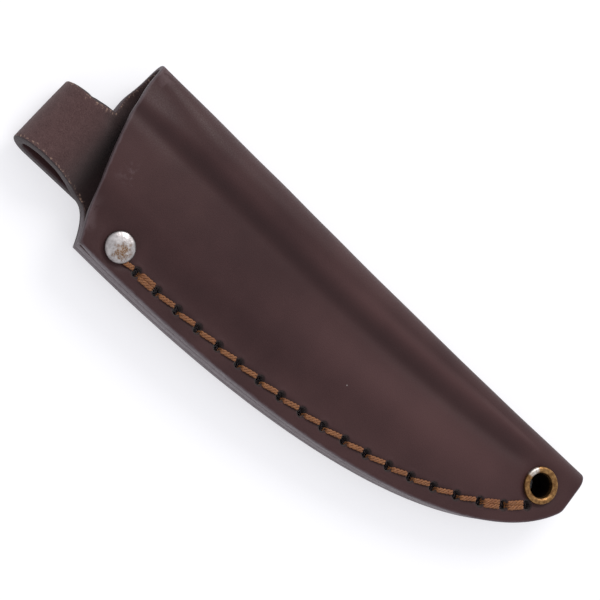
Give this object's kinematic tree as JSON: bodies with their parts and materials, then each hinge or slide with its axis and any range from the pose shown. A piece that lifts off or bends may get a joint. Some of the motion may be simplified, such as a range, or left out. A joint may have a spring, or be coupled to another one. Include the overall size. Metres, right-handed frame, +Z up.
{
  "type": "leather knife sheath",
  "caption": "Folded leather belt sheath for a whittling knife, sewn along its edge over a welt, with a riveted belt loop and an eyelet at the tip.",
  "frame": {"origin": "under the middle of the bounding box, on the table that the sheath lies on", "axes": "+X along the spine towards the tip, +Y from the sewn edge towards the spine fold, +Z up out of the front"},
  "size_m": [0.183, 0.0508, 0.017],
  "materials": {
    "brown_leather": "smooth oiled dark brown grain, suede flesh side",
    "welt_leather": "grey burnished cut edge",
    "waxed_thread": "rust-brown waxed twisted thread",
    "rivet_nickel": "worn nickel plate, brassy where rubbed",
    "antique_brass": "antique brass, dark in the hollows"
  },
  "bodies": {
    "root": {"sheath_leather": "brown_leather", "welt": "welt_leather", "seam_thread": "waxed_thread", "rivet_cap": "rivet_nickel", "rivet_post": "rivet_nickel", "eyelet": "antique_brass", "eyelet_washer": "antique_brass"}
  },
  "joints": []
}
